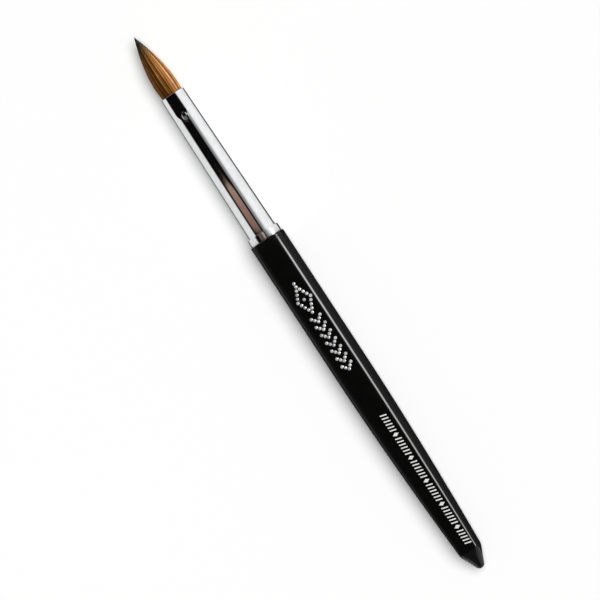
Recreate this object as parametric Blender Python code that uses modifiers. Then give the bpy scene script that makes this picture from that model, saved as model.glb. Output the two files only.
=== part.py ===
"""Acrylic nail brush: pointed hair tuft, plated ferrule with a collar, lacquered square handle.

Frame: metres. +X runs from the hair tip to the handle tip, +Z is up, and the origin is on the surface
that the brush lies on, under the middle of its length. The brush lies on one flat of its handle.
"""

import math

import bmesh
import bpy
from mathutils import Matrix, Vector

MM = 0.001

# Lengths along the brush
LENGTH = 170.0 * MM
HAIR_OUT = 18.55 * MM  # hair in front of the ferrule
FERRULE_OUT = 44.0 * MM  # ferrule in front of the collar
COLLAR_LENGTH = 2.2 * MM
FIT_GAP = 0.04 * MM  # clearance between pieces that touch on the real brush

# Handle: a square with rounded corners
ACROSS_FLATS = 9.45 * MM
CORNER_SHARE = 0.328  # corner radius over the width across flats
CORNER_STEPS = 5
SHOULDER_BEVEL = 0.25 * MM
TAPER_START_X = 22.0 * MM
TAPER_END_X = 79.6 * MM
TAPER_END_FLATS = 6.0 * MM
TAPER_POWER = 1.75
TAPER_RINGS = 8  # at equal steps of width, so the flats stay straight up to the taper's start
NOSE_RADIUS = 0.95 * MM
NOSE_RINGS = 5
TENON_LENGTH = 20.0 * MM
TENON_ROOT_RADIUS = 3.56 * MM
TENON_END_RADIUS = 3.34 * MM
TENON_CHAMFER = 0.5 * MM

# Ferrule: a tapered tube, pressed on the hair at its mouth
FERRULE_MOUTH_RADIUS = 3.46 * MM
FERRULE_STEP_RADIUS = 4.07 * MM
FERRULE_WALL = 0.35 * MM
PRESS_LENGTH = 6.9 * MM
PRESS_STEP_SHARE = 0.9  # of the length, where the flat is deepest and its end step begins
PRESS_MOUTH_DEPTH = 0.05 * MM
PRESS_DEPTH = 0.32 * MM
PRESS_ROLL = math.radians(13)  # of the pressed flat's middle, from +Z towards +Y
FERRULE_STATIONS = 10
COLLAR_RADIUS = 4.71 * MM
COLLAR_BEVEL = 0.18 * MM
ROUND_STEPS = 48

# Hair tuft: free length, then the root in the ferrule with a bound waist
HAIR_MOUTH_RADIUS = 3.0 * MM
HAIR_BELLY_RADIUS = 3.17 * MM
HAIR_BELLY_SHARE = 0.2  # of the free length, from the ferrule
HAIR_POINT_POWER = 1.85
HAIR_RINGS = 12
HAIR_STEPS = 32
ROOT_RADIUS = 2.62 * MM
ROOT_NECK = 2.0 * MM
ROOT_LENGTH = 13.0 * MM
WAIST_RADIUS = 2.45 * MM
WAIST_FROM = 8.6 * MM
WAIST_TO = 12.2 * MM
WAIST_SLOPE = 0.9 * MM
ROOT_END_RADIUS = 2.7 * MM
THREAD_RADIUS = 0.19 * MM
THREAD_TURNS = 6
THREAD_PITCH = 0.46 * MM
THREAD_POINTS_PER_TURN = 16
CEMENT_LENGTH = 4.0 * MM

# Flat-back crystals on the top face
CRYSTAL_RADIUS = 0.475 * MM
CRYSTAL_GIRDLE = 0.14 * MM
CRYSTAL_HEIGHT = 0.42 * MM
CRYSTAL_TABLE_RADIUS = 0.26 * MM
CRYSTAL_SIDES = 12
CRYSTAL_LIFT = 0.03 * MM  # thickness of the adhesive
DECOR_Y = 0.75 * MM
LEAD_X = -6.2 * MM
RHOMBUS_X = -1.2 * MM
RHOMBUS_SIDE = 5
RHOMBUS_STEP = (1.0 * MM, 0.5 * MM)
CHEVRON_X = 5.1 * MM
CHEVRON_PITCH = 2.5 * MM
CHEVRONS = 7
CHEVRON_ARM = 2
CHEVRON_STEP = (0.72 * MM, 0.70 * MM)

# Stations worked out from the lengths
TIP_X = LENGTH / 2
MOUTH_X = -LENGTH / 2 + HAIR_OUT
STEP_X = MOUTH_X + FERRULE_OUT
SHOULDER_X = STEP_X + COLLAR_LENGTH
AXIS_Z = ACROSS_FLATS / 2
SHARP_ANGLE = math.radians(40)


def clear_scene():
    for obj in list(bpy.data.objects):
        bpy.data.objects.remove(obj, do_unlink=True)


def new_collection(name):
    found = bpy.data.collections.get(name) or bpy.data.collections.new(name)
    if found.name not in bpy.context.scene.collection.children:
        bpy.context.scene.collection.children.link(found)
    return found


def material(name, colour, roughness, metallic=0.0):
    mat = bpy.data.materials.new(name)
    mat.use_nodes = True
    shader = mat.node_tree.nodes["Principled BSDF"]
    shader.inputs["Base Color"].default_value = (*colour, 1)
    shader.inputs["Roughness"].default_value = roughness
    shader.inputs["Metallic"].default_value = metallic
    return mat


def add_object(name, mesh, mat, home):
    obj = bpy.data.objects.new(name, mesh)
    home.objects.link(obj)
    mesh.materials.clear()
    mesh.materials.append(mat)
    return obj


def lay_on_axis(obj):
    """Turns a piece made about local Z so that Z lies along the brush, at the height of its axis."""
    obj.rotation_euler = (0, math.radians(90), 0)
    obj.location = (0, 0, AXIS_Z)


def turned_mesh(name, profile, steps, closed=True):
    """A solid of revolution about Z. Profile points are (radius, z), down the outer side.
    A closed profile is a ring's section. An open one starts and ends on the axis."""
    bm = bmesh.new()
    points = [bm.verts.new((radius, 0, z)) for radius, z in profile]
    pairs = list(zip(points, points[1:]))
    if closed:
        pairs.append((points[-1], points[0]))
    for a, b in pairs:
        bm.edges.new((a, b))
    outline = bpy.data.meshes.new(name + "_profile")
    bm.to_mesh(outline)
    bm.free()
    turned = bpy.data.objects.new(name + "_turned", outline)
    bpy.context.scene.collection.objects.link(turned)
    screw = turned.modifiers.new("turn", "SCREW")
    screw.axis = "Z"
    screw.steps = steps
    screw.render_steps = steps
    screw.use_merge_vertices = True
    screw.merge_threshold = 1e-6
    mesh = evaluated_mesh(turned, name)
    bpy.data.objects.remove(turned, do_unlink=True)
    bpy.data.meshes.remove(outline)
    return mesh


def evaluated_mesh(obj, name):
    bpy.context.view_layer.update()
    ready = obj.evaluated_get(bpy.context.evaluated_depsgraph_get())
    mesh = bpy.data.meshes.new_from_object(ready)
    mesh.name = name
    return mesh


def smooth(mesh):
    mesh.shade_smooth()
    mesh.set_sharp_from_angle(angle=SHARP_ANGLE)


# --- handle ---------------------------------------------------------------------------------------


def flats_at(x):
    """Width across flats of the handle at x, up to the rounded nose."""
    if x <= TAPER_START_X:
        return ACROSS_FLATS
    if x <= TAPER_END_X:
        share = (x - TAPER_START_X) / (TAPER_END_X - TAPER_START_X)
        return ACROSS_FLATS - (ACROSS_FLATS - TAPER_END_FLATS) * share**TAPER_POWER
    return TAPER_END_FLATS - 2 * point_slope() * (x - TAPER_END_X)


def point_slope():
    """Slope of the point's flats, which meet the round nose at a tangent. Found by a few repeats."""
    slope = 0.45
    for _ in range(20):
        angle = math.atan(slope)
        meet_x = TIP_X - NOSE_RADIUS * (1 - math.sin(angle))
        slope = (TAPER_END_FLATS / 2 - NOSE_RADIUS * math.cos(angle)) / (meet_x - TAPER_END_X)
    return slope


def corner_arcs():
    """(corner sign y, corner sign z, direction y, direction z) round a section, from +Y."""
    for corner in range(4):
        middle = math.radians(45 + 90 * corner)
        for step in range(CORNER_STEPS + 1):
            angle = math.radians(90 * corner + 90 * step / CORNER_STEPS)
            signs = (math.copysign(1, math.cos(middle)), math.copysign(1, math.sin(middle)))
            yield (*signs, math.cos(angle), math.sin(angle))


def square_ring(x, flats):
    radius = flats * CORNER_SHARE
    inner = flats / 2 - radius
    return [
        Vector((x, sy * inner + radius * dy, sz * inner + radius * dz + AXIS_Z))
        for sy, sz, dy, dz in corner_arcs()
    ]


def round_ring(x, radius):
    """A circle with as many points as square_ring, so that the two can be joined."""
    ring = []
    count = 4 * (CORNER_STEPS + 1)
    first = math.radians(45) * (1 - CORNER_STEPS / (CORNER_STEPS + 1))
    for i in range(count):
        angle = first + 2 * math.pi * i / count
        ring.append(Vector((x, radius * math.cos(angle), radius * math.sin(angle) + AXIS_Z)))
    return ring


def handle_rings():
    tenon_end = SHOULDER_X - TENON_LENGTH
    yield round_ring(tenon_end, TENON_END_RADIUS - TENON_CHAMFER)
    yield round_ring(tenon_end + TENON_CHAMFER, TENON_END_RADIUS)
    yield round_ring(SHOULDER_X, TENON_ROOT_RADIUS)
    yield square_ring(SHOULDER_X, ACROSS_FLATS - 2 * SHOULDER_BEVEL)
    yield square_ring(SHOULDER_X + SHOULDER_BEVEL / 3, ACROSS_FLATS - SHOULDER_BEVEL / 2)
    yield square_ring(SHOULDER_X + SHOULDER_BEVEL, ACROSS_FLATS)
    for i in range(TAPER_RINGS + 1):
        x = TAPER_START_X + (TAPER_END_X - TAPER_START_X) * (i / TAPER_RINGS) ** (1 / TAPER_POWER)
        yield square_ring(x, flats_at(x))
    slope_angle = math.atan(point_slope())
    centre = TIP_X - NOSE_RADIUS
    for i in range(NOSE_RINGS):
        angle = slope_angle + (math.pi / 2 - slope_angle) * i / NOSE_RINGS
        x = centre + NOSE_RADIUS * math.sin(angle)
        yield square_ring(x, 2 * NOSE_RADIUS * math.cos(angle))


def make_handle(home, lacquer):
    """The tenon, shoulder, body, taper and point as one loft, closed by a disc and a nose vertex."""
    bm = bmesh.new()
    rings = [[bm.verts.new(p) for p in ring] for ring in handle_rings()]
    for near, far in zip(rings, rings[1:]):
        for i in range(len(near)):
            j = (i + 1) % len(near)
            bm.faces.new((near[i], near[j], far[j], far[i]))
    bm.faces.new(list(reversed(rings[0])))
    nose = bm.verts.new((TIP_X, 0, AXIS_Z))
    last = rings[-1]
    for i in range(len(last)):
        bm.faces.new((last[i], last[(i + 1) % len(last)], nose))
    bmesh.ops.recalc_face_normals(bm, faces=bm.faces)
    mesh = bpy.data.meshes.new("handle")
    bm.to_mesh(mesh)
    bm.free()
    smooth(mesh)
    return add_object("handle", mesh, lacquer, home)


# --- ferrule, collar and glue ---------------------------------------------------------------------


def ferrule_radius(x):
    share = (x - MOUTH_X) / FERRULE_OUT
    return FERRULE_MOUTH_RADIUS + (FERRULE_STEP_RADIUS - FERRULE_MOUTH_RADIUS) * share


def bore_radius(x):
    return ferrule_radius(x) - FERRULE_WALL


def press_depth(x, angle):
    """How far the pressing tool has sunk the tube's wall. The flat slopes in from the mouth and ends
    in a short step. angle is measured round the brush from the middle of the flat."""
    along = (x - MOUTH_X) / PRESS_LENGTH
    if along >= 1:
        return 0
    if along <= PRESS_STEP_SHARE:
        sink = PRESS_MOUTH_DEPTH + (PRESS_DEPTH - PRESS_MOUTH_DEPTH) * along / PRESS_STEP_SHARE
    else:
        sink = PRESS_DEPTH * (1 - along) / (1 - PRESS_STEP_SHARE)
    radius = ferrule_radius(x)
    if math.cos(angle) <= 0:
        return 0
    return max(radius - (radius - sink) / math.cos(angle), 0)


def press_mouth(mesh):
    """Sinks the flat in the front of the tube, on the outside and inside alike."""
    for vert in mesh.vertices:
        # local -X is up on the finished brush
        angle = math.atan2(vert.co.y, -vert.co.x) - PRESS_ROLL
        radius = math.hypot(vert.co.x, vert.co.y)
        shrink = 1 - press_depth(vert.co.z, angle) / radius
        vert.co.x *= shrink
        vert.co.y *= shrink


def make_ferrule(home, chrome):
    end_x = SHOULDER_X - FIT_GAP
    stations = [MOUTH_X + (end_x - MOUTH_X) * i / FERRULE_STATIONS for i in range(FERRULE_STATIONS + 1)]
    stations[1] = MOUTH_X + PRESS_LENGTH
    stations[1:1] = [MOUTH_X + PRESS_LENGTH * share for share in (PRESS_STEP_SHARE / 2, PRESS_STEP_SHARE)]
    outer = [(ferrule_radius(x), x) for x in reversed(stations)]
    inner = [(bore_radius(x), x) for x in stations]
    mesh = turned_mesh("ferrule", outer + inner, ROUND_STEPS)
    press_mouth(mesh)
    smooth(mesh)
    tube = add_object("ferrule", mesh, chrome, home)
    lay_on_axis(tube)
    return tube


def make_collar(home, chrome):
    low_x = STEP_X
    high_x = SHOULDER_X - FIT_GAP
    inner = ferrule_radius(high_x) + FIT_GAP
    profile = [
        (inner, high_x),
        (COLLAR_RADIUS - COLLAR_BEVEL, high_x),
        (COLLAR_RADIUS, high_x - COLLAR_BEVEL),
        (COLLAR_RADIUS, low_x + COLLAR_BEVEL),
        (COLLAR_RADIUS - COLLAR_BEVEL, low_x),
        (inner, low_x),
    ]
    mesh = turned_mesh("ferrule_collar", profile, ROUND_STEPS)
    smooth(mesh)
    ring = add_object("ferrule_collar", mesh, chrome, home)
    lay_on_axis(ring)
    return ring


def make_tenon_glue(home, resin):
    """The glue film, a thin tapered sleeve between the tenon and the ferrule's bore."""
    low_x = SHOULDER_X - TENON_LENGTH + 2 * TENON_CHAMFER
    high_x = SHOULDER_X - 2 * FIT_GAP

    def tenon_radius(x):
        share = (SHOULDER_X - x) / TENON_LENGTH
        return TENON_ROOT_RADIUS + (TENON_END_RADIUS - TENON_ROOT_RADIUS) * share

    profile = [
        (bore_radius(high_x) - FIT_GAP, high_x),
        (bore_radius(low_x) - FIT_GAP, low_x),
        (tenon_radius(low_x) + FIT_GAP, low_x),
        (tenon_radius(high_x) + FIT_GAP, high_x),
    ]
    mesh = turned_mesh("tenon_glue", profile, ROUND_STEPS)
    smooth(mesh)
    film = add_object("tenon_glue", mesh, resin, home)
    lay_on_axis(film)
    return film


# --- hair, thread and cement ----------------------------------------------------------------------


def hair_radius(out):
    """Radius of the tuft at a distance out of the ferrule."""
    share = out / HAIR_OUT
    if share <= HAIR_BELLY_SHARE:
        swell = math.sin(share / HAIR_BELLY_SHARE * math.pi / 2)
        return HAIR_MOUTH_RADIUS + (HAIR_BELLY_RADIUS - HAIR_MOUTH_RADIUS) * swell
    rest = (share - HAIR_BELLY_SHARE) / (1 - HAIR_BELLY_SHARE)
    return HAIR_BELLY_RADIUS * (1 - rest**HAIR_POINT_POWER)


def make_hair_tuft(home, hair):
    free = [(hair_radius(HAIR_OUT * i / HAIR_RINGS), MOUTH_X - HAIR_OUT * i / HAIR_RINGS)
            for i in range(HAIR_RINGS)]
    root = [
        (ROOT_END_RADIUS, MOUTH_X + ROOT_LENGTH),
        (WAIST_RADIUS, MOUTH_X + WAIST_TO),
        (WAIST_RADIUS, MOUTH_X + WAIST_FROM),
        (ROOT_RADIUS, MOUTH_X + WAIST_FROM - WAIST_SLOPE),
        (ROOT_RADIUS, MOUTH_X + ROOT_NECK),
    ]
    profile = [(0, MOUTH_X + ROOT_LENGTH), *root, *free, (0, MOUTH_X - HAIR_OUT)]
    mesh = turned_mesh("hair_tuft", profile, HAIR_STEPS, closed=False)
    smooth(mesh)
    tuft = add_object("hair_tuft", mesh, hair, home)
    lay_on_axis(tuft)
    return tuft


def make_binding_thread(home, thread):
    """The thread's turns round the waist of the root, side by side."""
    curve = bpy.data.curves.new("binding_thread", "CURVE")
    curve.dimensions = "3D"
    curve.bevel_depth = THREAD_RADIUS
    curve.bevel_resolution = 2
    curve.use_fill_caps = True
    spline = curve.splines.new("POLY")
    count = THREAD_TURNS * THREAD_POINTS_PER_TURN + 1
    spline.points.add(count - 1)
    # the straight stretches between points pass closer to the root than the points do
    radius = (WAIST_RADIUS + THREAD_RADIUS + FIT_GAP) / math.cos(math.pi / THREAD_POINTS_PER_TURN)
    first_x = MOUTH_X + (WAIST_FROM + WAIST_TO) / 2 - THREAD_TURNS * THREAD_PITCH / 2
    for i, point in enumerate(spline.points):
        turn = i / THREAD_POINTS_PER_TURN
        angle = 2 * math.pi * turn
        point.co = (first_x + THREAD_PITCH * turn, radius * math.cos(angle),
                    radius * math.sin(angle) + AXIS_Z, 1)
    wire = bpy.data.objects.new("binding_thread_wire", curve)
    home.objects.link(wire)
    mesh = evaluated_mesh(wire, "binding_thread")
    bpy.data.objects.remove(wire, do_unlink=True)
    bm = bmesh.new()
    bm.from_mesh(mesh)
    bmesh.ops.remove_doubles(bm, verts=bm.verts, dist=1e-6)
    bmesh.ops.recalc_face_normals(bm, faces=bm.faces)
    bm.to_mesh(mesh)
    bm.free()
    smooth(mesh)
    return add_object("binding_thread", mesh, thread, home)


def make_hair_cement(home, resin):
    low_x = MOUTH_X + ROOT_LENGTH + FIT_GAP
    high_x = low_x + CEMENT_LENGTH
    profile = [
        (0, high_x),
        (bore_radius(high_x) - FIT_GAP, high_x),
        (bore_radius(low_x) - FIT_GAP, low_x),
        (0, low_x),
    ]
    mesh = turned_mesh("hair_cement", profile, ROUND_STEPS, closed=False)
    smooth(mesh)
    plug = add_object("hair_cement", mesh, resin, home)
    lay_on_axis(plug)
    return plug


# --- crystals -------------------------------------------------------------------------------------


def crystal_places():
    """(x, y) of each crystal: one alone, the outline of a rhombus with its centre, then chevrons."""
    yield LEAD_X, DECOR_Y
    last = RHOMBUS_SIDE - 1
    for i in range(RHOMBUS_SIDE):
        for j in range(RHOMBUS_SIDE):
            if i in (0, last) or j in (0, last) or i == j == last // 2:
                yield RHOMBUS_X + (i + j - last) * RHOMBUS_STEP[0], DECOR_Y + (i - j) * RHOMBUS_STEP[1]
    for n in range(CHEVRONS):
        apex = CHEVRON_X + CHEVRON_PITCH * n + CHEVRON_ARM * CHEVRON_STEP[0] / 2
        for k in range(-CHEVRON_ARM, CHEVRON_ARM + 1):
            yield apex - abs(k) * CHEVRON_STEP[0], DECOR_Y + k * CHEVRON_STEP[1]


def crystal_seat(x, y):
    """The point on the handle's upper side at (x, y) in plan, and how far its normal leans from +Z."""
    flats = flats_at(x)
    radius = flats * CORNER_SHARE
    past = max(abs(y) - (flats / 2 - radius), 0)
    lean = math.copysign(math.asin(past / radius), y)
    height = flats / 2 - radius * (1 - math.cos(lean))
    return Vector((x, y, AXIS_Z + height)), lean


def make_crystals(home, glass):
    profile = [
        (0, CRYSTAL_HEIGHT),
        (CRYSTAL_TABLE_RADIUS, CRYSTAL_HEIGHT),
        (CRYSTAL_RADIUS, CRYSTAL_GIRDLE),
        (CRYSTAL_RADIUS, 0),
        (0, 0),
    ]
    mesh = turned_mesh("crystal", profile, CRYSTAL_SIDES, closed=False)
    mesh.shade_flat()
    for number, (x, y) in enumerate(crystal_places(), 1):
        seat, lean = crystal_seat(x, y)
        turn = Matrix.Rotation(-lean, 4, "X")
        crystal = add_object(f"crystal_{number:02d}", mesh, glass, home)
        crystal.matrix_world = Matrix.Translation(seat) @ turn @ Matrix.Translation((0, 0, CRYSTAL_LIFT))


def main():
    clear_scene()
    home = new_collection("acrylic_nail_brush")
    lacquer = material("black_lacquer", (0.006, 0.006, 0.006), 0.16)
    chrome = material("bright_plating", (0.86, 0.87, 0.88), 0.05, 1.0)
    hair = material("kolinsky_hair", (0.40, 0.20, 0.07), 0.45)
    thread = material("waxed_thread", (0.75, 0.70, 0.58), 0.8)
    resin = material("amber_resin", (0.62, 0.42, 0.16), 0.3)
    glass = material("foiled_crystal", (0.93, 0.94, 0.95), 0.06)
    make_handle(home, lacquer)
    make_ferrule(home, chrome)
    make_collar(home, chrome)
    make_tenon_glue(home, resin)
    make_hair_tuft(home, hair)
    make_binding_thread(home, thread)
    make_hair_cement(home, resin)
    make_crystals(home, glass)


main()
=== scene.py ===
"""The looks of the acrylic nail brush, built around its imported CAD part.

Units: metres. +X runs from the hair tip to the handle tip, +Z is up, and the brush lies on z = 0.
Angles round the brush are measured from +Z towards +Y.
"""

import math
import random

import bmesh
import bpy
import numpy as np
from mathutils import Matrix, Vector


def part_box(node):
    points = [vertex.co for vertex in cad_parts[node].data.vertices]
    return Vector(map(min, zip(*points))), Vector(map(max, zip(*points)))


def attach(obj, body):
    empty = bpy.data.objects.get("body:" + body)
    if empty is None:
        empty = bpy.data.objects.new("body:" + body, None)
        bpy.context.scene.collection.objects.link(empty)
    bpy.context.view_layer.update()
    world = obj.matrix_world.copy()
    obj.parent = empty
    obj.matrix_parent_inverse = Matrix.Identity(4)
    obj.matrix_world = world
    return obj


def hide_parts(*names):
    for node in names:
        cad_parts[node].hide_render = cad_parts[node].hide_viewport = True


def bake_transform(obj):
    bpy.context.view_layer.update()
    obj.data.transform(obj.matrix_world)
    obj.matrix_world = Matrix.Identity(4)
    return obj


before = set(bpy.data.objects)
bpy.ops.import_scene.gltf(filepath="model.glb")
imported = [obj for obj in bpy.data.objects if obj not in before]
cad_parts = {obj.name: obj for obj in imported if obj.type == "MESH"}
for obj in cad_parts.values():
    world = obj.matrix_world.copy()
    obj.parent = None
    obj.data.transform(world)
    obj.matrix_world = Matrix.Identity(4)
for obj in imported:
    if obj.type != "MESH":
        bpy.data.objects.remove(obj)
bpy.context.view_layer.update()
rng = random.Random(8)

MM = 0.001
MICRON = 0.000001

# --- stations and sizes, read from the frame --------------------------------------------------------
handle_low, handle_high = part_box("handle")
ferrule_low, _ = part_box("ferrule")
collar_low, collar_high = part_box("ferrule_collar")
tuft_low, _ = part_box("hair_tuft")
TIP_X = handle_high.x
ACROSS_FLATS = handle_high.z - handle_low.z
AXIS_Z = (handle_high.z + handle_low.z) / 2
MOUTH_X = ferrule_low.x
STEP_X = collar_low.x
COLLAR_END_X = collar_high.x
COLLAR_RADIUS = (collar_high.z - collar_low.z) / 2
HAIR_TIP_X = tuft_low.x
HAIR_OUT = MOUTH_X - HAIR_TIP_X
TENON_END_X = handle_low.x

# --- shapes that the frame's boxes don't give -------------------------------------------------------
# The taper, the point, the pressed flat and the tuft follow the photo a little closer than the CAD part.
FIT_GAP = 0.04 * MM
HOLD = 0.03 * MM  # from a rounded edge to the ring that keeps the next face's shading flat
SHOULDER_X = COLLAR_END_X + FIT_GAP
CORNER_SHARE = 0.328  # corner radius over the width across flats
BREAK_CORNER_SHARE = 0.25  # and at the break, where the taper turns into the point
SHOULDER_BEVEL = 0.2 * MM
TAPER_START_X = 22.0 * MM
TAPER_END_X = 79.7 * MM
TAPER_END_FLATS = 6.0 * MM
TAPER_POWER = 1.75
BREAK_BLEND = 0.45 * MM  # difference in width within which the taper and the point are blended
ROUNDING_LEAD = 1 * MM  # how far before the break the corners start to turn round
NOSE_RADIUS = 1.35 * MM
TENON_ROOT_RADIUS = 3.56 * MM
TENON_END_RADIUS = 3.34 * MM
TENON_CHAMFER = 0.5 * MM
FERRULE_MOUTH_RADIUS = 3.46 * MM
FERRULE_STEP_RADIUS = 4.07 * MM
FERRULE_WALL = 0.35 * MM
PRESS_LENGTH = 8.0 * MM  # of the flat that is pressed in the ferrule's mouth
PRESS_STEP_SHARE = 0.68  # of that length, after which the flat rises again
PRESS_MOUTH_DEPTH = 0.34 * MM
PRESS_DEPTH = 0.40 * MM
PRESS_ROLL = math.radians(2.5)
HAIR_MOUTH_RADIUS = 3.0 * MM
HAIR_BELLY_RADIUS = 3.17 * MM
HAIR_BELLY_SHARE = 0.2
HAIR_POINT_POWER = 1.7
ROOT_RADIUS = 2.62 * MM
CRYSTAL_RADIUS = 0.475 * MM
CRYSTAL_GIRDLE = 0.14 * MM
GIRDLE_ABOVE = 0.03 * MM
GIRDLE_BELOW = 0.06 * MM
CRYSTAL_HEIGHT = 0.42 * MM
CRYSTAL_TABLE_RADIUS = 0.26 * MM
KITE_RADIUS_SHARE = 0.80  # where the star and kite facets meet, over the stone's radius
KITE_HEIGHT_SHARE = 0.70  # and over its height
CRYSTAL_BACK_SHARE = 0.97
CRYSTAL_LIFT = 0.03 * MM  # thickness of the adhesive, which has no mesh
DECOR_Y = 0.75 * MM
LEAD_X = -6.2 * MM
RHOMBUS_X = -1.2 * MM
RHOMBUS_SIDE = 5
RHOMBUS_STEP = (1.0 * MM, 0.5 * MM)
CHEVRON_X = 5.1 * MM
CHEVRON_PITCH = 2.5 * MM
CHEVRONS = 7
CHEVRON_ARM = 2
CHEVRON_STEP = (0.72 * MM, 0.70 * MM)


# --- mesh helpers -----------------------------------------------------------------------------------

SHARP_ANGLE = math.radians(50)


def link_object(name, data):
    obj = bpy.data.objects.new(name, data)
    bpy.context.scene.collection.objects.link(obj)
    return obj


def link_mesh(name, vertices, faces, materials, smooth=True):
    mesh = bpy.data.meshes.new(name)
    mesh.from_pydata([tuple(v) for v in vertices], [], faces)
    bm = bmesh.new()
    bm.from_mesh(mesh)
    bmesh.ops.recalc_face_normals(bm, faces=bm.faces)
    bm.to_mesh(mesh)
    bm.free()
    for mat in materials:
        mesh.materials.append(mat)
    if smooth:
        mesh.shade_smooth()
        mesh.set_sharp_from_angle(angle=SHARP_ANGLE)
    return link_object(name, mesh)


def loft_faces(ring_count, ring_size, loop=False):
    """Quads between rings of equal size. With loop, the last ring joins the first."""
    faces = []
    for r in range(ring_count if loop else ring_count - 1):
        near = r * ring_size
        far = (r + 1) % ring_count * ring_size
        for i in range(ring_size):
            j = (i + 1) % ring_size
            faces.append((near + i, near + j, far + j, far + i))
    return faces


def spread(low, high, count, power=1.0):
    """count + 1 values from low to high, closer together at the low end if power is above 1."""
    return [low + (high - low) * (i / count) ** power for i in range(count + 1)]


def ease(share):
    """From 0 to 1, with a level start and end."""
    return share * share * (3 - 2 * share)


def around(x, radius, angle):
    """The point at x, at a radius from the brush's axis, at an angle from +Z towards +Y."""
    return (x, radius * math.sin(angle), AXIS_Z + radius * math.cos(angle))


# --- material helpers -------------------------------------------------------------------------------

NOISE_LOW = 0.3  # a noise value mostly stays between these two
NOISE_HIGH = 0.7
MIX_FACTOR, MIX_A, MIX_B = 0, 6, 7  # the mix node's inputs when it mixes colours
MIX_RESULT = 2


def new_material(name):
    mat = bpy.data.materials.new(name)
    mat.use_nodes = True
    return mat, mat.node_tree, mat.node_tree.nodes["Principled BSDF"]


def add_node(tree, kind, inputs=None, **settings):
    node = tree.nodes.new(kind)
    for key, value in settings.items():
        setattr(node, key, value)
    for key, value in (inputs or {}).items():
        node.inputs[key].default_value = value
    return node


def in_millimetres(tree, stretch=(1, 1, 1)):
    """The object's own coordinates in millimetres, divided by a stretch along each axis."""
    place = add_node(tree, "ShaderNodeTexCoord")
    scale = add_node(tree, "ShaderNodeMapping")
    scale.inputs["Scale"].default_value = [1 / MM / s for s in stretch]
    tree.links.new(place.outputs["Object"], scale.inputs["Vector"])
    return scale.outputs["Vector"]


def noise(tree, vector, per_mm, detail=3.0, roughness=0.5):
    settings = {"Scale": per_mm, "Detail": detail, "Roughness": roughness}
    node = add_node(tree, "ShaderNodeTexNoise", settings)
    tree.links.new(vector, node.inputs["Vector"])
    return node.outputs["Fac"]


def ramp(tree, value, stops):
    """A colour ramp. Stops are (position, grey) or (position, (r, g, b))."""
    node = add_node(tree, "ShaderNodeValToRGB")
    elements = node.color_ramp.elements
    while len(elements) < len(stops):
        elements.new(0.5)
    for element, (position, colour) in zip(elements, stops):
        element.position = position
        rgb = colour if isinstance(colour, tuple) else (colour,) * 3
        element.color = (*rgb, 1)
    tree.links.new(value, node.inputs["Fac"])
    return node.outputs["Color"]


def multiply_colours(tree, a, b):
    """The product of two colour sockets."""
    node = add_node(tree, "ShaderNodeMix", data_type="RGBA", blend_type="MULTIPLY")
    node.inputs[MIX_FACTOR].default_value = 1.0
    tree.links.new(a, node.inputs[MIX_A])
    tree.links.new(b, node.inputs[MIX_B])
    return node.outputs[MIX_RESULT]


def set_roughness(tree, shader, value, low, high):
    """Roughness from low to high as a noise value goes from its usual low to its usual high."""
    limits = {"From Min": NOISE_LOW, "From Max": NOISE_HIGH, "To Min": low, "To Max": high}
    node = add_node(tree, "ShaderNodeMapRange", limits)
    tree.links.new(value, node.inputs["Value"])
    tree.links.new(node.outputs["Result"], shader.inputs["Roughness"])


def add_bump(tree, shader, *layers):
    """Bump layers, each (height socket, depth in metres), one on top of another."""
    normal = None
    for height, depth in layers:
        node = add_node(tree, "ShaderNodeBump", {"Strength": 1.0, "Distance": depth})
        tree.links.new(height, node.inputs["Height"])
        if normal is not None:
            tree.links.new(normal, node.inputs["Normal"])
        normal = node.outputs["Normal"]
    tree.links.new(normal, shader.inputs["Normal"])


# --- materials --------------------------------------------------------------------------------------


def lacquer_material():
    """Black piano lacquer: a faint orange peel, and dust and rubbing that only change the gloss."""
    mat, tree, shader = new_material("black_lacquer_coat")
    place = in_millimetres(tree)
    along = in_millimetres(tree, (25, 1, 1))
    tones = [(0.3, (0.0020, 0.0022, 0.0020)), (0.7, (0.0030, 0.0030, 0.0027))]
    tone = ramp(tree, noise(tree, place, 0.35), tones)
    tree.links.new(tone, shader.inputs["Base Color"])
    shader.inputs["IOR"].default_value = 1.42
    set_roughness(tree, shader, noise(tree, along, 1.4, 5.0), 0.03, 0.06)
    peel = noise(tree, place, 0.9, 2.0)
    rubbing = noise(tree, along, 6.0, 4.0)
    add_bump(tree, shader, (peel, 2.2 * MICRON), (rubbing, 0.5 * MICRON))
    return mat


def wood_material():
    """The bare birch of the tenon."""
    mat, tree, shader = new_material("bare_birch")
    grain = noise(tree, in_millimetres(tree, (30, 1, 1)), 2.5, 6.0, 0.6)
    colour = ramp(tree, grain, [
        (0.3, (0.42, 0.27, 0.14)), (0.55, (0.62, 0.45, 0.27)), (0.75, (0.70, 0.54, 0.35))])
    tree.links.new(colour, shader.inputs["Base Color"])
    shader.inputs["Roughness"].default_value = 0.7
    add_bump(tree, shader, (grain, 25 * MICRON))
    return mat


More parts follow.
